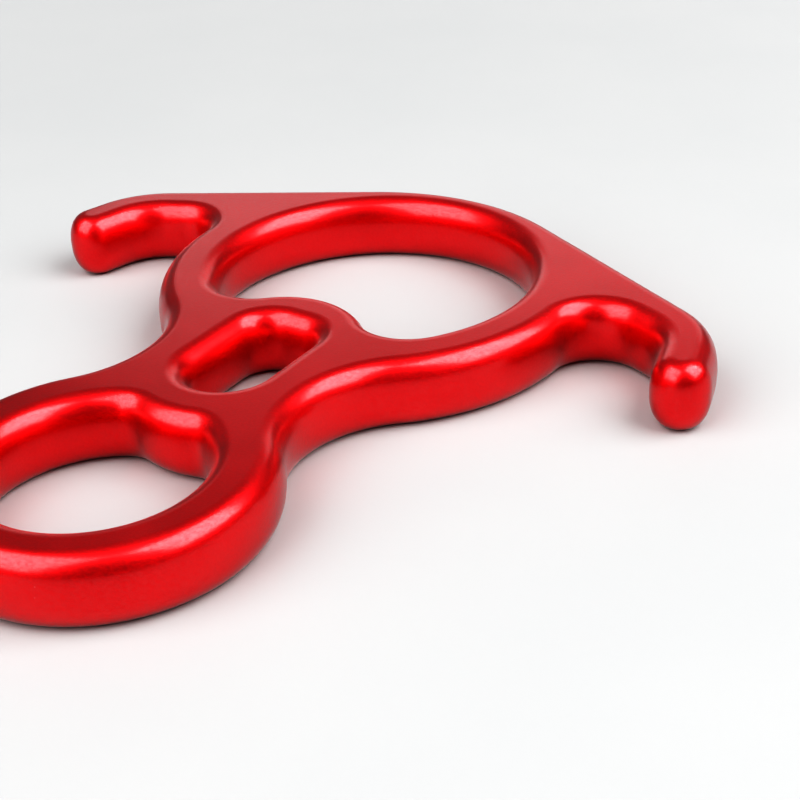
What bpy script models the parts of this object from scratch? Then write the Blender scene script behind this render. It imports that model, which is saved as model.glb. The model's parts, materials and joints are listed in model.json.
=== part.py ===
"""Figure-eight belay device with bent ears: one forging of 13.5 mm aluminium plate with rounded edges.

The device lies flat. X runs from ear to ear, +Y points at the large ring's crown, and +Z is up. The
origin is under the middle of its bounding box, on the surface that it lies on.

Every outline is a belt round a few circles: arcs joined by their common tangents, drawn for the right
half and mirrored. Outlines are worked out in millimetres, with the large opening's centre at 0, 0.
"""

import math

import bmesh
import bpy
from mathutils import Vector

NODE = "descender_forging"
MM = 0.001

# Section of the forging
THICKNESS = 13.5
EDGE_RADIUS = 4.2
NARROWEST_FLAT = 0.1

# Large ring: the rope goes through its opening
LARGE_OPENING_RADIUS = 30.8
LARGE_CORNER_RADIUS = 8.6
LARGE_SADDLE_RADIUS = 17.5
LARGE_SADDLE_DEPTH = 15.6
LARGE_RING_WALL = 12.2
CROWN_WALL = 8.6
CROWN_RADIUS = 46.1

# Ears: a bent arm on each side of the large ring, with a throat between arm and ring
EAR_WIDTH = 11.0
EAR_BEND_RADIUS = 9.3
EAR_BEND_OUT = 10.0
EAR_BEND_DROP = 5.6
EAR_LEAN = math.radians(14.3)
EAR_STRAIGHT = 5.1
THROAT_CORNER_RADIUS = 7.4
THROAT_CORNER_ANGLE = math.radians(-2.7)

# Small ring: a carabiner goes through its opening
RING_SPACING = 80.6
SMALL_OPENING_RADIUS = 18.3
SMALL_CORNER_RADIUS = 5.0
SMALL_SADDLE_RADIUS = 20.3
SMALL_SADDLE_DEPTH = 15.5
SMALL_RING_WALL = 11.7
SMALL_END_WALL = 10.7

# Neck: a slot with a web above and below it and a wall on each side
SLOT_WIDTH = 14.2
SLOT_CORNER_RADIUS = 5.0
UPPER_WEB = 11.8
LOWER_WEB = 12.2
NECK_WALL = 12.3

# Fineness of the solid
CHORD_ERROR = 0.04
EDGE_STEPS = 4
WELD_DISTANCE = 0.00001

ANODISED_RED = (0.62, 0.006, 0.016, 1.0)
ROUGHNESS = 0.32


def edge_radius():
    """The rounded edge, limited by the thinnest wall, which keeps a narrow flat between its edges."""
    ring_walls = (LARGE_RING_WALL, CROWN_WALL, SMALL_RING_WALL, SMALL_END_WALL)
    neck_walls = (UPPER_WEB, LOWER_WEB, NECK_WALL)
    thinnest = min(THICKNESS, EAR_WIDTH, *ring_walls, *neck_walls)
    return min(EDGE_RADIUS, (thinnest - NARROWEST_FLAT) / 2)


def touching_centre(first, first_distance, second, second_distance, side):
    """The point at a set distance from each of two centres, on the left (+1) or the right (-1)."""
    along = second - first
    span = along.length
    reach = (first_distance ** 2 - second_distance ** 2 + span ** 2) / (2 * span)
    rise = math.sqrt(first_distance ** 2 - reach ** 2)
    along.normalize()
    return first + along * reach + Vector((-along.y, along.x)) * rise * side


def waist_circle(upper_radius, lower_radius, half_width):
    """Centre and radius of the circle that touches both rings and leaves the neck its half width."""
    rise = -(RING_SPACING ** 2 + upper_radius ** 2 - lower_radius ** 2) / (2 * RING_SPACING)
    slope = -(upper_radius - lower_radius) / RING_SPACING
    half_b = half_width + rise * slope - upper_radius
    constant = half_width ** 2 + rise ** 2 - upper_radius ** 2
    radius = constant / (-half_b + math.sqrt(half_b ** 2 - slope ** 2 * constant))
    return Vector((half_width + radius, rise + slope * radius)), radius


def body_circles():
    """Circles of the outside, clockwise from the crown: centre and radius, negative where it hollows."""
    large_ring = LARGE_OPENING_RADIUS + LARGE_RING_WALL
    small_ring = SMALL_OPENING_RADIUS + SMALL_RING_WALL
    crown = Vector((0.0, LARGE_OPENING_RADIUS + CROWN_WALL - CROWN_RADIUS))
    bend = Vector((large_ring + EAR_BEND_OUT, -EAR_BEND_DROP))
    across_arm = Vector((math.cos(EAR_LEAN), math.sin(EAR_LEAN)))
    along_arm = Vector((across_arm.y, -across_arm.x))
    tip = bend + across_arm * (EAR_BEND_RADIUS + EAR_WIDTH / 2) + along_arm * EAR_STRAIGHT
    corner_reach = large_ring + THROAT_CORNER_RADIUS
    corner = corner_reach * Vector((math.cos(THROAT_CORNER_ANGLE), math.sin(THROAT_CORNER_ANGLE)))
    waist, waist_radius = waist_circle(large_ring, small_ring, SLOT_WIDTH / 2 + NECK_WALL)
    return [
        (crown, CROWN_RADIUS),
        (bend, EAR_BEND_RADIUS + EAR_WIDTH),
        (tip, EAR_WIDTH / 2),
        (bend, -EAR_BEND_RADIUS),
        (corner, -THROAT_CORNER_RADIUS),
        (Vector((0.0, 0.0)), large_ring),
        (waist, -waist_radius),
        (Vector((0.0, -RING_SPACING)), small_ring),
    ]


def large_opening_circles():
    """Circles of the large opening: its round, its corner and the saddle that rises into it."""
    centre = Vector((0.0, 0.0))
    saddle = Vector((0.0, -LARGE_SADDLE_DEPTH - LARGE_SADDLE_RADIUS))
    corner = touching_centre(
        centre,
        LARGE_OPENING_RADIUS - LARGE_CORNER_RADIUS,
        saddle,
        LARGE_SADDLE_RADIUS + LARGE_CORNER_RADIUS,
        1,
    )
    return [
        (centre, LARGE_OPENING_RADIUS),
        (corner, LARGE_CORNER_RADIUS),
        (saddle, -LARGE_SADDLE_RADIUS),
    ]


def small_opening_centre():
    """Centre of the small opening, set by the wall at the small ring's end."""
    end = -RING_SPACING - SMALL_OPENING_RADIUS - SMALL_RING_WALL
    return Vector((0.0, end + SMALL_END_WALL + SMALL_OPENING_RADIUS))


def small_opening_circles():
    """Circles of the small opening: the saddle that dips into it, its corner and its round."""
    centre = small_opening_centre()
    saddle = centre + Vector((0.0, SMALL_SADDLE_DEPTH + SMALL_SADDLE_RADIUS))
    corner = touching_centre(
        centre,
        SMALL_OPENING_RADIUS - SMALL_CORNER_RADIUS,
        saddle,
        SMALL_SADDLE_RADIUS + SMALL_CORNER_RADIUS,
        -1,
    )
    return [
        (saddle, -SMALL_SADDLE_RADIUS),
        (corner, SMALL_CORNER_RADIUS),
        (centre, SMALL_OPENING_RADIUS),
    ]


def slot_circles():
    """Circles of the neck's slot: two tight upper corners and a round lower end."""
    half_width = SLOT_WIDTH / 2
    top = -LARGE_SADDLE_DEPTH - UPPER_WEB
    bottom = small_opening_centre().y + SMALL_SADDLE_DEPTH + LOWER_WEB
    return [
        (Vector((half_width - SLOT_CORNER_RADIUS, top - SLOT_CORNER_RADIUS)), SLOT_CORNER_RADIUS),
        (Vector((0.0, bottom + half_width)), half_width),
    ]


def tangent_direction(first, second):
    """Angle of the shared normal where a belt leaves one circle for the next, which it may touch."""
    (centre, radius), (next_centre, next_radius) = first, second
    along = next_centre - centre
    lift = radius - next_radius
    reach = math.sqrt(max(along.length_squared - lift ** 2, 0.0))
    return math.atan2(along.y, along.x) - math.atan2(lift, reach) + math.pi / 2


def arc(centre, radius, first_angle, last_angle):
    """Points of one arc: clockwise on a positive radius, anticlockwise on a negative one."""
    turn = (last_angle - first_angle + math.pi) % (2 * math.pi) - math.pi
    if radius > 0 and turn > math.pi / 6:
        turn -= 2 * math.pi
    if radius < 0 and turn < -math.pi / 6:
        turn += 2 * math.pi
    step = 2 * math.acos(1 - CHORD_ERROR / abs(radius))
    count = max(2, math.ceil(abs(turn) / step))
    angles = [first_angle + turn * i / count for i in range(count + 1)]
    return [centre + radius * Vector((math.cos(a), math.sin(a))) for a in angles]


def belt(circles, grow):
    """Closed outline: the right half as a belt round the circles, grown by a distance, and its mirror."""
    grown = [(centre, radius + grow) for centre, radius in circles]
    turns = [tangent_direction(a, b) for a, b in zip(grown, grown[1:])]
    starts = [math.pi / 2, *turns]
    ends = [*turns, -math.pi / 2]
    half = []
    for (centre, radius), start, end in zip(grown, starts, ends):
        half += arc(centre, radius, start, end)
    mirrored = [Vector((-p.x, p.y)) for p in reversed(half[1:-1])]
    return half + mirrored


def without_repeats(points):
    """The outline without points that lie on the one before them."""
    kept = []
    for point in points:
        if not kept or (point - kept[-1]).length > CHORD_ERROR:
            kept.append(point)
    if (kept[0] - kept[-1]).length < CHORD_ERROR:
        kept.pop()
    return kept


def add_outline(curve, points):
    """Adds one closed outline to a flat curve."""
    spline = curve.splines.new("POLY")
    spline.points.add(len(points) - 1)
    for target, point in zip(spline.points, points):
        target.co = (point.x * MM, point.y * MM, 0.0, 1.0)
    spline.use_cyclic_u = True


def body_curve():
    """The flat face's outline and openings, as a flat curve that its bevel grows to full size."""
    edge = edge_radius()
    curve = bpy.data.curves.new(NODE + "_outline", "CURVE")
    curve.dimensions = "2D"
    curve.fill_mode = "BOTH"
    curve.extrude = (THICKNESS / 2 - edge) * MM
    curve.bevel_depth = edge * MM
    curve.bevel_resolution = EDGE_STEPS - 1
    add_outline(curve, without_repeats(belt(body_circles(), -edge)))
    for circles in (large_opening_circles(), slot_circles(), small_opening_circles()):
        add_outline(curve, without_repeats(belt(circles, edge)))
    return curve


def anodised_aluminium():
    """Red anodised aluminium."""
    material = bpy.data.materials.new("red_anodised_aluminium")
    material.use_nodes = True
    shader = material.node_tree.nodes["Principled BSDF"]
    shader.inputs["Base Color"].default_value = ANODISED_RED
    shader.inputs["Metallic"].default_value = 1.0
    shader.inputs["Roughness"].default_value = ROUGHNESS
    return material


def box_centre_y():
    """Middle of the device's length."""
    crown_end = LARGE_OPENING_RADIUS + CROWN_WALL
    small_end = -RING_SPACING - SMALL_OPENING_RADIUS - SMALL_RING_WALL
    return (crown_end + small_end) / 2


def build_forging(collection):
    """Builds the forging as one closed mesh, lying on Z = 0 with its box centred on X and Y."""
    outline = bpy.data.objects.new(NODE + "_outline", body_curve())
    outline.location = (0.0, -box_centre_y() * MM, THICKNESS / 2 * MM)
    collection.objects.link(outline)
    graph = bpy.context.evaluated_depsgraph_get()
    mesh = bpy.data.meshes.new_from_object(outline.evaluated_get(graph))
    mesh.name = NODE
    welded = bmesh.new()
    welded.from_mesh(mesh)
    bmesh.ops.remove_doubles(welded, verts=welded.verts, dist=WELD_DISTANCE)
    bmesh.ops.recalc_face_normals(welded, faces=welded.faces)
    welded.to_mesh(mesh)
    welded.free()
    mesh.shade_smooth()
    mesh.set_sharp_from_angle(angle=math.radians(35))
    mesh.materials.clear()
    mesh.materials.append(anodised_aluminium())
    forging = bpy.data.objects.new(NODE, mesh)
    forging.matrix_world = outline.matrix_world.copy()
    bpy.data.objects.remove(outline)
    collection.objects.link(forging)
    return forging


def main():
    """Clears the scene and builds the belay device."""
    for old in list(bpy.data.objects):
        bpy.data.objects.remove(old)
    collection = bpy.data.collections.new("belay_device")
    bpy.context.scene.collection.children.link(collection)
    build_forging(collection)


main()
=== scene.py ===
"""Looks of an eared figure-eight belay device: one red anodised forging lying on a pale floor.

The device's sizes repeat the CAD model's, in metres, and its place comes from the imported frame. Each
outline is a belt round a few circles, spun arc by arc. Rings of that outline, grown and raised step by
step, follow the forging's rounded section and are bridged into one closed surface.
"""

import json
import logging
import math
from dataclasses import dataclass
from enum import Enum

import bmesh
import bpy
from mathutils import Matrix, Vector, noise

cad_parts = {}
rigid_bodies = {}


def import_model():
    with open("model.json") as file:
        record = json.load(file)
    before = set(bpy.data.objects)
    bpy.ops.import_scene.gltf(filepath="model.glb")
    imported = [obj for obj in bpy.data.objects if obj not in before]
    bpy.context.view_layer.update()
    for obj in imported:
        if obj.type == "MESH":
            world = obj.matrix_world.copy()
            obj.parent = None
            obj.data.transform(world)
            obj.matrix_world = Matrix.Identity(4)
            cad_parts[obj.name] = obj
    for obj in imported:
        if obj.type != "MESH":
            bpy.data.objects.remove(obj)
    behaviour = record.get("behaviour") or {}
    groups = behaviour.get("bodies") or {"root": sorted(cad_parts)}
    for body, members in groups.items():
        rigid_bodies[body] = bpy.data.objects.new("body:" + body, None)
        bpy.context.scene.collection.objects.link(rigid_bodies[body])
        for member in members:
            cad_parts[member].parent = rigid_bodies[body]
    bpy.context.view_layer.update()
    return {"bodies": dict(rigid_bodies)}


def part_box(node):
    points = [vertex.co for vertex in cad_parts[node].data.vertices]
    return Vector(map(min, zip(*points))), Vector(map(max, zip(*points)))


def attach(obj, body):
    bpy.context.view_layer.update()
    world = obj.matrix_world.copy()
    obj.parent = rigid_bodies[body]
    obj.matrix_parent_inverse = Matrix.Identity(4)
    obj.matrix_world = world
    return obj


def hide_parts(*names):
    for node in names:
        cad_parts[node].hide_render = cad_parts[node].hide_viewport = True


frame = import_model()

logging.basicConfig(level=logging.INFO, format="%(message)s")
log = logging.getLogger("belay_device")

NODE = "descender_forging"
BODY = next(iter(frame["bodies"]))
MM = 0.001

# Two points of an outline that are nearer than TOUCHING are one, and WELD joins the two halves.
TOUCHING = 0.02 * MM
WELD = 0.002 * MM

# An arc that turns the wrong way by more than this goes the long way round its circle.
WRONG_WAY = math.pi / 6

# Places of the view's combined curve, and of the Mix node's sockets for colours.
COMBINED_CURVE = 3
MIX_FACTOR, MIX_FIRST, MIX_SECOND, MIX_RESULT = 0, 6, 7, 2

Colour = tuple[float, float, float, float]
BLACK: Colour = (0.0, 0.0, 0.0, 1.0)
WHITE: Colour = (1.0, 1.0, 1.0, 1.0)


class Side(Enum):
    """Which side of a line between two centres a touching circle lies on."""

    LEFT = 1
    RIGHT = -1


@dataclass(frozen=True)
class Circle:
    """One circle of a belt.

    Args:
        x: Centre across the device, in metres.
        y: Centre along the device, in metres.
        radius: Radius in metres, negative where the outline hollows in.
    """

    x: float
    y: float
    radius: float

    def grown(self, distance: float) -> "Circle":
        """The same circle with its outline pushed outwards by a distance."""
        return Circle(self.x, self.y, self.radius + distance)

    def point(self, angle: float, height: float) -> Vector:
        """The circle's point at an outward normal's angle, at a height."""
        across = self.x + self.radius * math.cos(angle)
        return Vector((across, self.y + self.radius * math.sin(angle), height))


def touching(
    first: Circle, reach_first: float, second: Circle, reach_second: float, side: Side
) -> Vector:
    """The point at a set distance from each of two centres.

    Args:
        first: The circle whose centre the line starts at.
        reach_first: Distance from that centre.
        second: The circle whose centre the line ends at.
        reach_second: Distance from that centre.
        side: The side of the line that the point lies on.

    Returns:
        The point, at height zero.
    """
    start = Vector((first.x, first.y, 0.0))
    along = Vector((second.x, second.y, 0.0)) - start
    span = along.length
    reach = (reach_first**2 - reach_second**2 + span**2) / (2 * span)
    rise = math.sqrt(reach_first**2 - reach**2)
    along.normalize()
    return start + along * reach + Vector((-along.y, along.x, 0.0)) * rise * side.value


@dataclass(frozen=True)
class Belt:
    """A closed outline that runs clockwise round circles, mirrored left to right.

    Args:
        circles: The circles of the right half, from the crown's end to the small ring's end.
        step: Longest stretch between two points of the outline, in metres.
    """

    circles: tuple[Circle, ...]
    step: float

    def arcs(self) -> list[tuple[Circle, float, float, int]]:
        """The arcs of the right half, which keep their angles when the outline grows.

        Returns:
            For each circle, the circle, its first normal's angle, its turn and its number of steps.
        """
        turns = [self._shared_normal(a, b) for a, b in zip(self.circles, self.circles[1:])]
        found = []
        for circle, start, end in zip(self.circles, [math.pi / 2, *turns], [*turns, -math.pi / 2]):
            sweep = self._sweep(circle, start, end)
            steps = max(2, math.ceil(abs(sweep * circle.radius) / self.step))
            found.append((circle, start, sweep, steps))
        return found

    @staticmethod
    def _shared_normal(first: Circle, second: Circle) -> float:
        """Angle of the normal where the belt leaves one circle for the next.

        Args:
            first: The circle that the belt leaves.
            second: The circle that it runs on to.

        Returns:
            The angle, in radians.
        """
        dx, dy = second.x - first.x, second.y - first.y
        lift = first.radius - second.radius
        reach = math.sqrt(max(dx * dx + dy * dy - lift * lift, 0.0))
        return math.atan2(dy, dx) - math.atan2(lift, reach) + math.pi / 2

    @staticmethod
    def _sweep(circle: Circle, start: float, end: float) -> float:
        """Signed turn of one arc: clockwise on a bulge, anticlockwise on a hollow.

        Args:
            circle: The arc's circle.
            start: Angle of the arc's first normal.
            end: Angle of its last normal.

        Returns:
            The turn, in radians.
        """
        turn = (end - start + math.pi) % (2 * math.pi) - math.pi
        if circle.radius > 0 and turn > WRONG_WAY:
            turn -= 2 * math.pi
        if circle.radius < 0 and turn < -WRONG_WAY:
            turn += 2 * math.pi
        return turn

    def trace(self, mesh: bmesh.types.BMesh, grow: float, height: float) -> list[bmesh.types.BMEdge]:
        """Adds the right half of the outline to a mesh, spun arc by arc.

        Args:
            mesh: The mesh that takes the outline's edges.
            grow: Distance that the outline is pushed outwards.
            height: Height of the outline.

        Returns:
            The edges, from the crown's end to the small ring's end.
        """
        ring = bmesh.new()
        first = self.circles[0].grown(grow).point(math.pi / 2, height)
        tip = ring.verts.new((0.0, first.y, height))
        for circle, start, sweep, steps in self.arcs():
            tip = self._reach(ring, tip, circle.grown(grow).point(start, height))
            spun = bmesh.ops.spin(
                ring,
                geom=[tip],
                cent=(circle.x, circle.y, height),
                axis=(0.0, 0.0, 1.0),
                angle=sweep,
                steps=steps,
            )
            tip = next(part for part in spun["geom_last"] if isinstance(part, bmesh.types.BMVert))
        tip.co.x = 0.0
        known = len(mesh.edges)
        data = bpy.data.meshes.new("ring")
        ring.to_mesh(data)
        ring.free()
        mesh.from_mesh(data)
        bpy.data.meshes.remove(data)
        mesh.edges.ensure_lookup_table()
        return mesh.edges[known:]

    def _reach(
        self, ring: bmesh.types.BMesh, tip: bmesh.types.BMVert, goal: Vector
    ) -> bmesh.types.BMVert:
        """Draws the straight stretch from the outline's tip to the next arc's first point.

        Args:
            ring: The mesh that holds the outline.
            tip: The outline's last vertex.
            goal: The next arc's first point.

        Returns:
            The vertex that the next arc starts from.
        """
        stretch = goal - tip.co
        if stretch.length < TOUCHING:
            tip.co = goal
            return tip
        count = max(1, round(stretch.length / self.step))
        for _ in range(count):
            tip = bmesh.ops.extrude_vert_indiv(ring, verts=[tip])["verts"][0]
            bmesh.ops.translate(ring, verts=[tip], vec=stretch / count)
        return tip


@dataclass(frozen=True)
class RoundedSection:
    """The section at an edge, which curves without a break from one flat over the wall to the other.

    Args:
        thickness: Height of the forging.
        edge: Distance from the wall to where the flats begin.
        flat_power: How slowly the curve leaves the flats; 2 is an ellipse.
        wall_power: How upright the wall stays; 2 is an ellipse.
        steps: Steps from a flat to half height.
        rim: Width of a level strip round the flats.
    """

    thickness: float
    edge: float
    flat_power: float = 2.25
    wall_power: float = 2.4
    steps: int = 20
    rim: float = 0.05 * MM

    def stations(self) -> list[tuple[float, float]]:
        """The places of the rings that make the section.

        Returns:
            Each ring's distance inside the outline and its height, from the upper flat to the lower one.
        """
        half = self.thickness / 2
        upper = [(self.edge + self.rim, self.thickness)]
        for i in range(self.steps + 1):
            turn = math.pi / 2 * i / self.steps
            reach = self.edge * math.sin(turn) ** (2 / self.flat_power)
            rise = half * max(math.cos(turn), 0.0) ** (2 / self.wall_power)
            upper.append((self.edge - reach, half + rise))
        lower = [(inset, self.thickness - height) for inset, height in reversed(upper[:-1])]
        return upper + lower


@dataclass
class Forging:
    """The whole device: large ring, two bent ears, slotted neck and small ring.

    Args:
        thickness: Thickness of the plate, in metres as every size here.
        edge: Width of the rounding from the wall to the flats.
        large_opening: Radius of the large opening.
        large_corner: Radius of the large opening's two lower corners.
        large_saddle: Radius of the saddle that rises into the large opening.
        large_saddle_depth: Distance from the large ring's middle to the saddle's top.
        large_wall: Width of the large ring's bar at its sides.
        crown_wall: Width of the large ring's bar at the crown.
        crown: Radius of the crown's outside.
        ear_width: Width of an ear.
        ear_bend: Radius inside an ear's bend.
        ear_bend_out: Distance from the large ring to the middle of the bend.
        ear_bend_drop: Distance of that middle below the large ring's middle.
        ear_lean: Angle in radians that an ear's last stretch leans outwards.
        ear_straight: Length of that stretch, up to the round tip.
        throat_corner: Radius of the hollow where an ear meets the large ring.
        throat_corner_angle: Direction of that hollow from the large ring's middle, in radians.
        ring_spacing: Distance between the middles of the rings.
        small_opening: Radius of the small opening.
        small_corner: Radius of the small opening's two upper corners.
        small_saddle: Radius of the saddle that reaches down into the small opening.
        small_saddle_depth: Distance from the small opening's middle to the saddle's lowest point.
        small_wall: Width of the small ring's bar at its sides.
        small_end_wall: Width of the small ring's bar at the end.
        slot_width: Width of the neck's slot.
        slot_corner: Radius of the slot's two upper corners.
        upper_web: Width of the bar between the large opening and the slot.
        lower_web: Width of the bar between the slot and the small opening.
        neck_wall: Width of the bars beside the slot.
        step: Longest stretch between two points of an outline.
        polish_waves: Length and depth of each size of wave that polishing leaves.
    """

    thickness: float = 13.5 * MM
    edge: float = 4.2 * MM
    large_opening: float = 30.8 * MM
    large_corner: float = 8.6 * MM
    large_saddle: float = 17.5 * MM
    large_saddle_depth: float = 15.6 * MM
    large_wall: float = 12.2 * MM
    crown_wall: float = 8.6 * MM
    crown: float = 46.1 * MM
    ear_width: float = 11.0 * MM
    ear_bend: float = 9.3 * MM
    ear_bend_out: float = 10.0 * MM
    ear_bend_drop: float = 5.6 * MM
    ear_lean: float = math.radians(14.3)
    ear_straight: float = 5.1 * MM
    throat_corner: float = 7.4 * MM
    throat_corner_angle: float = math.radians(-2.7)
    ring_spacing: float = 80.6 * MM
    small_opening: float = 18.3 * MM
    small_corner: float = 5.0 * MM
    small_saddle: float = 20.3 * MM
    small_saddle_depth: float = 15.5 * MM
    small_wall: float = 11.7 * MM
    small_end_wall: float = 10.7 * MM
    slot_width: float = 14.2 * MM
    slot_corner: float = 5.0 * MM
    upper_web: float = 11.8 * MM
    lower_web: float = 12.2 * MM
    neck_wall: float = 12.3 * MM
    step: float = 0.75 * MM
    polish_waves: tuple[tuple[float, float], ...] = (
        (11 * MM, 0.05 * MM),
        (3.4 * MM, 0.010 * MM),
    )

    def __post_init__(self) -> None:
        """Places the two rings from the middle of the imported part."""
        low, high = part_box(NODE)
        crown_end = self.large_opening + self.crown_wall
        small_end = -self.ring_spacing - self.small_opening - self.small_wall
        self.large_y = (low.y + high.y) / 2 - (crown_end + small_end) / 2
        self.small_y = self.large_y - self.ring_spacing
        self.small_opening_y = self.large_y + small_end + self.small_end_wall + self.small_opening

    def outside(self) -> Belt:
        """Lays out the body's outline: crown, ear, throat, large ring, waist and small ring.

        Returns:
            The outline.
        """
        large_ring = self.large_opening + self.large_wall
        small_ring = self.small_opening + self.small_wall
        crown_y = self.large_y + self.large_opening + self.crown_wall - self.crown
        bend = Vector((large_ring + self.ear_bend_out, self.large_y - self.ear_bend_drop))
        across = Vector((math.cos(self.ear_lean), math.sin(self.ear_lean)))
        along = Vector((across.y, -across.x))
        ear_tip = bend + across * (self.ear_bend + self.ear_width / 2) + along * self.ear_straight
        corner = (large_ring + self.throat_corner) * Vector(
            (math.cos(self.throat_corner_angle), math.sin(self.throat_corner_angle))
        )
        return Belt(
            (
                Circle(0.0, crown_y, self.crown),
                Circle(bend.x, bend.y, self.ear_bend + self.ear_width),
                Circle(ear_tip.x, ear_tip.y, self.ear_width / 2),
                Circle(bend.x, bend.y, -self.ear_bend),
                Circle(corner.x, self.large_y + corner.y, -self.throat_corner),
                Circle(0.0, self.large_y, large_ring),
                self._waist(large_ring, small_ring),
                Circle(0.0, self.small_y, small_ring),
            ),
            self.step,
        )

    def _waist(self, large_ring: float, small_ring: float) -> Circle:
        """The hollow that touches both rings and leaves the neck its width.

        Args:
            large_ring: Outer radius of the large ring.
            small_ring: Outer radius of the small ring.

        Returns:
            The waist's circle, with a negative radius.
        """
        half_width = self.slot_width / 2 + self.neck_wall
        spacing = self.ring_spacing
        rise = -(spacing**2 + large_ring**2 - small_ring**2) / (2 * spacing)
        slope = -(large_ring - small_ring) / spacing
        half_b = half_width + rise * slope - large_ring
        constant = half_width**2 + rise**2 - large_ring**2
        radius = constant / (-half_b + math.sqrt(half_b**2 - slope**2 * constant))
        return Circle(half_width + radius, self.large_y + rise + slope * radius, -radius)

    def openings(self) -> tuple[Belt, ...]:
        """Lays out the openings' outlines.

        Returns:
            The outlines of the large opening, the neck's slot and the small opening.
        """
        large = Circle(0.0, self.large_y, self.large_opening)
        saddle_y = self.large_y - self.large_saddle_depth - self.large_saddle
        large_saddle = Circle(0.0, saddle_y, -self.large_saddle)
        small = Circle(0.0, self.small_opening_y, self.small_opening)
        saddle_y = self.small_opening_y + self.small_saddle_depth + self.small_saddle
        small_saddle = Circle(0.0, saddle_y, -self.small_saddle)
        large_corner = self._corner(large, large_saddle, self.large_corner, Side.LEFT)
        small_corner = self._corner(small, small_saddle, self.small_corner, Side.RIGHT)
        slot_top = self.large_y - self.large_saddle_depth - self.upper_web
        slot_bottom = self.small_opening_y + self.small_saddle_depth + self.lower_web
        half_slot = self.slot_width / 2
        slot_corner = Circle(
            half_slot - self.slot_corner, slot_top - self.slot_corner, self.slot_corner
        )
        slot_end = Circle(0.0, slot_bottom + half_slot, half_slot)
        return (
            Belt((large, large_corner, large_saddle), self.step),
            Belt((slot_corner, slot_end), self.step),
            Belt((small_saddle, small_corner, small), self.step),
        )

    @staticmethod
    def _corner(ring: Circle, saddle: Circle, radius: float, side: Side) -> Circle:
        """The corner circle inside an opening that touches its round and its saddle."""
        centre = touching(ring, ring.radius - radius, saddle, radius - saddle.radius, side)
        return Circle(centre.x, centre.y, radius)

    def build(self) -> bpy.types.Object:
        """Builds the forging as one closed surface.

        Returns:
            The object, at the origin, with its place in its mesh.
        """
        mesh = bmesh.new()
        section = RoundedSection(self.thickness, self.edge)
        self._skin(mesh, self.outside(), section, -1)
        for belt in self.openings():
            self._skin(mesh, belt, section, 1)
        half = mesh.verts[:] + mesh.edges[:] + mesh.faces[:]
        bmesh.ops.mirror(mesh, geom=half, merge_dist=WELD, axis="X")
        bmesh.ops.remove_doubles(mesh, verts=mesh.verts, dist=WELD)
        for height, up in ((self.thickness, 1.0), (0.0, -1.0)):
            rims = [e for e in mesh.edges if e.is_boundary and abs(e.verts[0].co.z - height) < WELD]
            bmesh.ops.triangle_fill(
                mesh, use_beauty=True, use_dissolve=False, edges=rims, normal=(0.0, 0.0, up)
            )
        bmesh.ops.recalc_face_normals(mesh, faces=mesh.faces)
        self._ease(mesh)
        for face in mesh.faces:
            face.smooth = True
        data = bpy.data.meshes.new("forged_body")
        mesh.to_mesh(data)
        mesh.free()
        forged = bpy.data.objects.new("forged_body", data)
        bpy.context.scene.collection.objects.link(forged)
        return forged

    def _ease(self, mesh: bmesh.types.BMesh) -> None:
        """Presses the rounded surfaces in by hundredths of a millimetre, unevenly, as polishing does.

        Args:
            mesh: The closed surface. Its flats stay level.
        """
        mesh.normal_update()
        pressed = []
        for point in mesh.verts:
            lean = 1 - point.normal.z**2
            depth = sum(
                depth * (1 + noise.noise(point.co / length)) / 2 for length, depth in self.polish_waves
            )
            pressed.append((point, point.normal * (-lean * depth)))
        for point, shift in pressed:
            point.co += shift

    @staticmethod
    def _skin(mesh: bmesh.types.BMesh, belt: Belt, section: RoundedSection, sign: int) -> None:
        """Bridges rings of an outline along the section, on the right half.

        Args:
            mesh: The mesh that takes the surface.
            belt: The outline.
            section: The section that the rings follow.
            sign: -1 where the forging lies inside the outline, 1 round an opening.
        """
        rings = [belt.trace(mesh, sign * inset, height) for inset, height in section.stations()]
        for upper, lower in zip(rings, rings[1:]):
            bmesh.ops.bridge_loops(mesh, edges=upper + lower)


@dataclass(frozen=True)
class Lumps:
    """An uneven pattern all over a surface.

    Args:
        size: Length of its largest lumps, in metres.
        layers: Number of finer layers.
        rough: How strong the finer layers are.
    """

    size: float
    layers: float
    rough: float


@dataclass(frozen=True)
class Patches(Lumps):
    """Patches of an uneven pattern, with bare surface between them.

    Args:
        start: Value of the pattern below which the surface is bare.
        end: Value above which a patch is full.
    """

    start: float
    end: float


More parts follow.
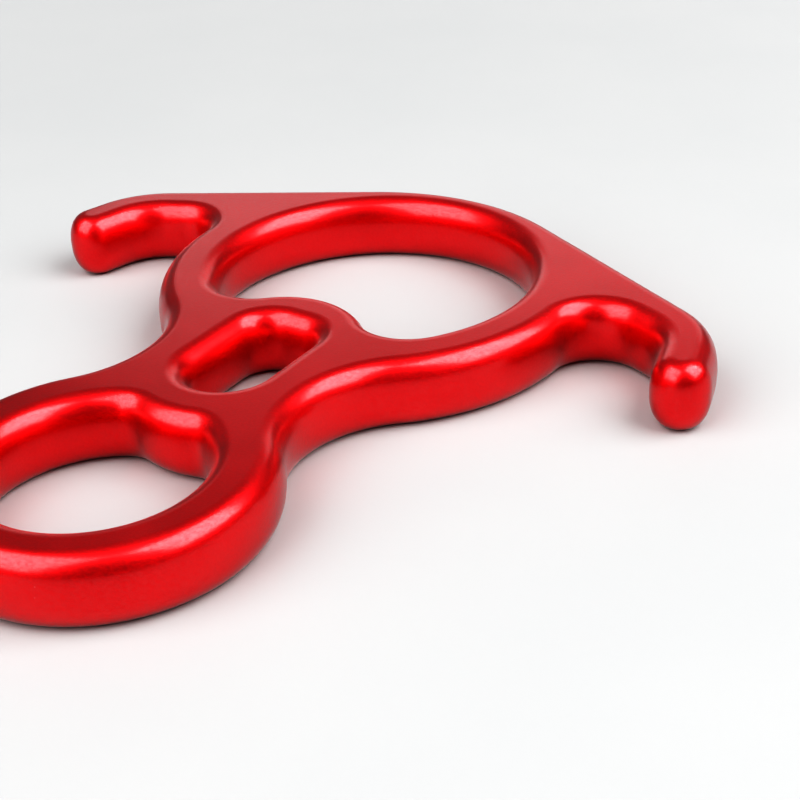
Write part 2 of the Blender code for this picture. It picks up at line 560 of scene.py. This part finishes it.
class Value:
    """A shader number that Python's operators work on, each adding one Math node."""

    def __init__(self, graph: "Graph", socket: bpy.types.NodeSocket) -> None:
        """Keeps the socket that gives the number.

        Args:
            graph: The material's nodes.
            socket: The output socket.
        """
        self.graph = graph
        self.socket = socket

    def _math(self, operation: str, first: "Number", second: "Number") -> "Value":
        """One Math node.

        Args:
            operation: The node's operation.
            first: Its first number.
            second: Its second number.

        Returns:
            The node's result.
        """
        node = self.graph.node("ShaderNodeMath", {"operation": operation}, {0: first, 1: second})
        return Value(self.graph, node.outputs[0])

    def __add__(self, other: "Number") -> "Value":
        """This number plus another."""
        return self._math("ADD", self, other)

    def __radd__(self, other: "Number") -> "Value":
        """Another number plus this one."""
        return self._math("ADD", other, self)

    def __sub__(self, other: "Number") -> "Value":
        """This number less another."""
        return self._math("SUBTRACT", self, other)

    def __rsub__(self, other: "Number") -> "Value":
        """Another number less this one."""
        return self._math("SUBTRACT", other, self)

    def __mul__(self, other: "Number") -> "Value":
        """This number times another."""
        return self._math("MULTIPLY", self, other)

    def __rmul__(self, other: "Number") -> "Value":
        """Another number times this one."""
        return self._math("MULTIPLY", other, self)

    def kept(self) -> "Value":
        """This number kept between 0 and 1."""
        settings = {"operation": "ADD", "use_clamp": True}
        node = self.graph.node("ShaderNodeMath", settings, {0: self, 1: 0.0})
        return Value(self.graph, node.outputs[0])

    def ramp(self, start: float, end: float) -> "Value":
        """Rises smoothly from 0 at one value of this number to 1 at another.

        Args:
            start: Value that gives 0.
            end: Value that gives 1.

        Returns:
            The risen number, kept between 0 and 1.
        """
        settings = {"interpolation_type": "SMOOTHSTEP"}
        sockets = {"Value": self, "From Min": start, "From Max": end}
        node = self.graph.node("ShaderNodeMapRange", settings, sockets)
        return Value(self.graph, node.outputs["Result"])


Number = Value | float


class Graph:
    """The nodes of one material or of the world."""

    def __init__(
        self, owner: bpy.types.Material | bpy.types.World, shader: str, place: str
    ) -> None:
        """Switches the owner's nodes on.

        Args:
            owner: The material or the world.
            shader: Its shader node.
            place: The texture coordinate that its patterns read.
        """
        owner.use_nodes = True
        self.tree = owner.node_tree
        self.shader = self.tree.nodes[shader]
        self.place = self.node("ShaderNodeTexCoord", {}, {}).outputs[place]

    def node(
        self, kind: str, settings: dict[str, object], sockets: dict[str | int, object]
    ) -> bpy.types.Node:
        """Adds a node.

        Args:
            kind: The node's type.
            settings: Its properties, set first.
            sockets: Its inputs by name or number, each a plain value, an output or a Value.

        Returns:
            The node.
        """
        made = self.tree.nodes.new(kind)
        for key, setting in settings.items():
            setattr(made, key, setting)
        self.feed(made, sockets)
        return made

    def feed(self, node: bpy.types.Node, sockets: dict[str | int, object]) -> None:
        """Sets or links a node's inputs.

        Args:
            node: The node.
            sockets: Its inputs by name or number, each a plain value, an output or a Value.
        """
        for key, given in sockets.items():
            source = given.socket if isinstance(given, Value) else given
            if isinstance(source, bpy.types.NodeSocket):
                self.tree.links.new(source, node.inputs[key])
            else:
                node.inputs[key].default_value = source

    def noise(self, lumps: Lumps) -> Value:
        """Smooth noise between about 0 and 1.

        Args:
            lumps: Its size and its finer layers.

        Returns:
            The noise.
        """
        sockets = {
            "Vector": self.place,
            "Scale": 1 / lumps.size,
            "Detail": lumps.layers,
            "Roughness": lumps.rough,
        }
        return Value(self, self.node("ShaderNodeTexNoise", {}, sockets).outputs["Fac"])

    def patches(self, patches: Patches) -> Value:
        """Patches of noise: 0 on the bare surface and 1 inside a patch."""
        return self.noise(patches).ramp(patches.start, patches.end)

    def dots(self, spacing: float, size: float) -> Value:
        """Small round dots, 1 at their middles.

        Args:
            spacing: Distance between dots, in metres.
            size: Width of a dot, in metres.

        Returns:
            The dots.
        """
        sockets = {"Vector": self.place, "Scale": 1 / spacing}
        distance = Value(self, self.node("ShaderNodeTexVoronoi", {}, sockets).outputs["Distance"])
        rim = size / spacing / 2
        core = rim / 4
        return distance.ramp(rim, core)

    def mix(self, factor: Value, first: object, second: object) -> bpy.types.NodeSocket:
        """A colour between two.

        Args:
            factor: 0 for the first colour, 1 for the second.
            first: The first colour.
            second: The second colour.

        Returns:
            The mixed colour's socket.
        """
        sockets = {MIX_FACTOR: factor, MIX_FIRST: first, MIX_SECOND: second}
        return self.node("ShaderNodeMix", {"data_type": "RGBA"}, sockets).outputs[MIX_RESULT]

    def slope(self) -> Value:
        """How far the surface leans from level.

        Returns:
            0 on the flats, rising to 1 on an upright wall.
        """
        normal = self.node("ShaderNodeTexCoord", {}, {}).outputs["Normal"]
        level = Value(self, self.node("ShaderNodeSeparateXYZ", {}, {0: normal}).outputs["Z"])
        return 1 - level * level

    def bump(self, height: Value, depth: float) -> None:
        """Bends the shader's normal by a height map.

        Args:
            height: The height, between 0 and 1.
            depth: Depth that it stands for, in metres.
        """
        made = self.node("ShaderNodeBump", {}, {"Strength": 1.0, "Distance": depth, "Height": height})
        self.feed(self.shader, {"Normal": made.outputs["Normal"]})


@dataclass(frozen=True)
class AnodisedRed:
    """Bead-blasted aluminium, anodised and dyed red, under its clear sealed oxide.

    Args:
        dye: Colour of the dyed metal.
        thin_dye: Its colour where the dye is thinner.
        rubbed: Its colour where the dye is rubbed away.
        grazing_tint: Colour of the metal seen at a low angle.
        satin: Roughness of the metal between the grains.
        haze: Strength of the pale haze seen at a low angle.
        haze_spread: Roughness of that haze.
        seal_index: Refractive index of the clear seal.
        seal_satin: Roughness of the seal.
        grain: The blasted grain.
        grain_dye: How much the grain thins the dye.
        grain_satin: How much the grain roughens the metal.
        grain_seal: How much the grain weakens the seal.
        grain_height: Height of the grain, as a part of the relief.
        peel: Soft waves in the seal.
        peel_height: Their height, as a part of the relief.
        drift: Slow change of the dye along the device.
        drift_dye: How much it thins the dye.
        drift_satin: How much it roughens the metal.
        rounding_starts: Slopes between which the rubbed edges begin, next to the flats.
        rounding_ends: Slopes between which they end, next to the walls.
        rubs: The stretches of edge that are rubbed.
        scuffs: The fine scuffs in them.
        wear_colour: How much of the rubbed colour a scuff shows.
        wear_satin: How much a scuff smooths the metal.
        wear_seal: How much a scuff weakens the seal.
        speck_spacing: Distance between specks, in metres.
        speck: Width of a speck, in metres.
        speckled: The areas that have specks.
        speck_colour: How much of the rubbed colour a speck shows.
        speck_satin: How much a speck roughens the metal.
        speck_seal: How much a speck weakens the seal.
        speck_depth: Depth of a speck, as a part of the relief.
        relief: Depth that the whole height map stands for, in metres.
    """

    dye: Colour = (0.74, 0.002, 0.009, 1.0)
    thin_dye: Colour = (0.84, 0.010, 0.018, 1.0)
    rubbed: Colour = (0.80, 0.16, 0.17, 1.0)
    grazing_tint: Colour = (0.18, 0.45, 0.45, 1.0)
    satin: float = 0.34
    haze: float = 0.2
    haze_spread: float = 0.35
    seal_index: float = 1.62
    seal_satin: float = 0.23
    grain: Patches = Patches(0.54 * MM, 3.0, 0.7, 0.34, 0.66)
    grain_dye: float = 0.25
    grain_satin: float = 0.08
    grain_seal: float = 0.36
    grain_height: float = 0.42
    peel: Lumps = Lumps(1.7 * MM, 2.0, 0.45)
    peel_height: float = 0.9
    drift: Patches = Patches(16 * MM, 2.0, 0.5, 0.3, 0.7)
    drift_dye: float = 0.5
    drift_satin: float = 0.03
    rounding_starts: tuple[float, float] = (0.02, 0.3)
    rounding_ends: tuple[float, float] = (0.6, 0.95)
    rubs: Patches = Patches(6 * MM, 3.0, 0.55, 0.56, 0.74)
    scuffs: Patches = Patches(0.7 * MM, 4.0, 0.7, 0.55, 0.72)
    wear_colour: float = 0.55
    wear_satin: float = 0.08
    wear_seal: float = 0.3
    speck_spacing: float = 4.5 * MM
    speck: float = 0.36 * MM
    speckled: Patches = Patches(9 * MM, 1.0, 0.5, 0.5, 0.62)
    speck_colour: float = 0.85
    speck_satin: float = 0.15
    speck_seal: float = 0.4
    speck_depth: float = 0.2
    relief: float = 0.016 * MM

    def material(self) -> bpy.types.Material:
        """Builds the finish.

        Returns:
            The material.
        """
        material = bpy.data.materials.new("anodised_red")
        graph = Graph(material, "Principled BSDF", "Object")
        grain = graph.patches(self.grain)
        peel = graph.noise(self.peel)
        drift = graph.patches(self.drift)
        slope = graph.slope()
        rounding = slope.ramp(*self.rounding_starts) * (1 - slope.ramp(*self.rounding_ends))
        wear = rounding * graph.patches(self.rubs) * graph.patches(self.scuffs)
        specks = graph.dots(self.speck_spacing, self.speck) * graph.patches(self.speckled)
        thinned = drift * self.drift_dye + grain * self.grain_dye
        dyed = graph.mix(thinned, self.dye, self.thin_dye)
        worn = graph.mix(wear * self.wear_colour, dyed, self.rubbed)
        roughness = (
            self.satin
            + self.grain_satin * grain
            + self.drift_satin * drift
            - self.wear_satin * wear
            + self.speck_satin * specks
        )
        seal = 1.0 - self.grain_seal * grain - self.wear_seal * wear - self.speck_seal * specks
        graph.feed(
            graph.shader,
            {
                "Base Color": graph.mix(specks * self.speck_colour, worn, self.rubbed),
                "Metallic": 1.0,
                "Roughness": roughness,
                "Specular Tint": self.grazing_tint,
                "Coat Weight": seal.kept(),
                "Coat IOR": self.seal_index,
                "Coat Roughness": self.seal_satin,
                "Sheen Weight": self.haze,
                "Sheen Roughness": self.haze_spread,
            },
        )
        height = self.grain_height * grain + self.peel_height * peel - self.speck_depth * specks
        graph.bump(height, self.relief)
        return material


@dataclass(frozen=True)
class PaleSweep:
    """The matt pale paper that the device lies on, which glows where the lamps don't reach.

    Args:
        paper: Colour of the paper.
        shade: Its colour in faint clouds.
        clouds: The clouds.
        matt: Roughness of the paper.
        glow: Light that the paper gives off far from the device.
        glow_start: Distance from the device where the glow begins, in metres.
        glow_end: Distance where it is full, in metres.
        tooth: The paper's fine tooth.
        tooth_depth: Depth of the tooth, in metres.
    """

    paper: Colour = (0.400, 0.403, 0.403, 1.0)
    shade: Colour = (0.391, 0.395, 0.396, 1.0)
    clouds: Patches = Patches(60 * MM, 3.0, 0.5, 0.3, 0.7)
    matt: float = 0.85
    glow: Colour = (0.71, 0.72, 0.72, 1.0)
    glow_start: float = 0.12
    glow_end: float = 1.1
    tooth: Lumps = Lumps(0.6 * MM, 2.0, 0.5)
    tooth_depth: float = 0.01 * MM

    def material(self) -> bpy.types.Material:
        """Builds the paper's finish.

        Returns:
            The material.
        """
        material = bpy.data.materials.new("pale_paper")
        graph = Graph(material, "Principled BSDF", "Object")
        length = graph.node("ShaderNodeVectorMath", {"operation": "LENGTH"}, {0: graph.place})
        reach = Value(graph, length.outputs["Value"])
        glowing = reach.ramp(self.glow_start, self.glow_end)
        sockets = {
            "Base Color": graph.mix(graph.patches(self.clouds), self.paper, self.shade),
            "Roughness": self.matt,
            "Emission Color": graph.mix(glowing, BLACK, self.glow),
            "Emission Strength": 1.0,
        }
        graph.feed(graph.shader, sockets)
        graph.bump(graph.noise(self.tooth), self.tooth_depth)
        return material


@dataclass(frozen=True)
class SoftBox:
    """A soft rectangular lamp that faces the device.

    Args:
        name: Its name.
        azimuth: Direction it stands in, turned from +Y towards +X.
        elevation: Its height above the horizon.
        distance: How far off it stands, in metres.
        width: Its width, in metres.
        height: Its height, in metres.
        power: Its power, in watts.
    """

    name: str
    azimuth: float
    elevation: float
    distance: float
    width: float
    height: float
    power: float

    def hang(self) -> None:
        """Hangs the lamp and turns it to the device."""
        data = bpy.data.lights.new(self.name, "AREA")
        data.shape = "RECTANGLE"
        data.size = self.width
        data.size_y = self.height
        data.energy = self.power
        lamp = bpy.data.objects.new(self.name, data)
        level = math.cos(self.elevation)
        away = Vector(
            (level * math.sin(self.azimuth), level * math.cos(self.azimuth), math.sin(self.elevation))
        )
        turn = away.to_track_quat("Z", "Y").to_matrix().to_4x4()
        lamp.matrix_world = Matrix.Translation(away * self.distance) @ turn
        bpy.context.scene.collection.objects.link(lamp)


@dataclass(frozen=True)
class Studio:
    """Floor, lights and camera.

    Args:
        lens: Focal length, in millimetres.
        sensor: Width of the sensor, in millimetres.
        near: Nearest distance that the camera sees, in metres.
        eye: Place of the camera, in metres.
        azimuth: Direction it looks in, turned from +Y towards +X.
        elevation: Angle it looks down at.
        roll: Its turn about its own axis.
        floor_reach: Half the paper's width, in metres.
        contrast: How much the dark tones are deepened.
        tones: Tones at which the deepening is set.
        ceiling: How much brighter the room is overhead than at the horizon.
        walls: Brightness of the room at the horizon.
        backdrop: Brightness that the camera alone sees behind the paper's far edge.
        lamps: The lamps.
    """

    lens: float = 67.858
    sensor: float = 36.0
    near: float = 0.01
    eye: tuple[float, float, float] = (0.155224, -0.187852, 0.139522)
    azimuth: float = math.radians(-33.958)
    elevation: float = math.radians(30.085)
    roll: float = math.radians(-2.687)
    floor_reach: float = 6.0
    contrast: float = 0.65
    tones: tuple[float, ...] = (0.02, 0.06, 0.13, 0.25, 0.4, 0.6, 0.8)
    ceiling: float = 0.35
    walls: float = 0.15
    backdrop: float = 0.7
    lamps: tuple[SoftBox, ...] = (
        SoftBox("right_softbox", math.radians(74), math.radians(47), 0.9, 0.8, 0.8, 14.0),
        SoftBox("left_softbox", math.radians(-157), math.radians(44), 0.9, 0.9, 0.95, 13.0),
        SoftBox("back_softbox", math.radians(-25), math.radians(18), 0.9, 0.75, 0.36, 1.0),
    )

    def camera(self) -> None:
        """Places the camera."""
        data = bpy.data.cameras.new("view")
        data.lens = self.lens
        data.sensor_width = self.sensor
        data.clip_start = self.near
        camera = bpy.data.objects.new("view", data)
        heading = Matrix.Rotation(-self.azimuth, 4, "Z")
        tilt = Matrix.Rotation(math.pi / 2 - self.elevation, 4, "X")
        roll = Matrix.Rotation(self.roll, 4, "Z")
        camera.matrix_world = Matrix.Translation(self.eye) @ (heading @ tilt) @ roll
        bpy.context.scene.collection.objects.link(camera)
        bpy.context.scene.camera = camera

    def floor(self) -> None:
        """Lays the pale paper under the device."""
        mesh = bmesh.new()
        bmesh.ops.create_grid(mesh, x_segments=1, y_segments=1, size=self.floor_reach)
        data = bpy.data.meshes.new("paper")
        mesh.to_mesh(data)
        mesh.free()
        data.materials.append(PaleSweep().material())
        paper = bpy.data.objects.new("paper", data)
        bpy.context.scene.collection.objects.link(paper)

    def _set_contrast(self, view: bpy.types.ColorManagedViewSettings) -> None:
        """Deepens the dark tones and leaves white where it is.

        Args:
            view: The scene's view settings.
        """
        view.use_curve_mapping = True
        curve = view.curve_mapping.curves[COMBINED_CURVE]
        for tone in self.tones:
            curve.points.new(tone, tone ** (1 + self.contrast * (1 - tone)))
        view.curve_mapping.update()

    def light(self) -> None:
        """Hangs the lamps and lights the room, dim at the horizon and brighter overhead."""
        scene = bpy.context.scene
        scene.view_settings.view_transform = "Standard"
        self._set_contrast(scene.view_settings)
        scene.world = bpy.data.worlds.new("studio_room")
        graph = Graph(scene.world, "Background", "Generated")
        direction = graph.node("ShaderNodeSeparateXYZ", {}, {0: graph.place})
        height = Value(graph, direction.outputs["Z"])
        seen = Value(graph, graph.node("ShaderNodeLightPath", {}, {}).outputs["Is Camera Ray"])
        strength = height.kept() * self.ceiling + self.walls + seen * self.backdrop
        graph.feed(graph.shader, {"Color": WHITE, "Strength": strength})
        for lamp in self.lamps:
            lamp.hang()


def main() -> None:
    """Builds the device, dresses it and sets the studio."""
    forged = Forging().build()
    log.info("forged_body: %d faces", len(forged.data.polygons))
    forged.data.materials.append(AnodisedRed().material())
    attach(forged, BODY)
    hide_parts(NODE)
    studio = Studio()
    studio.floor()
    studio.light()
    studio.camera()


if __name__ == "__main__":
    main()
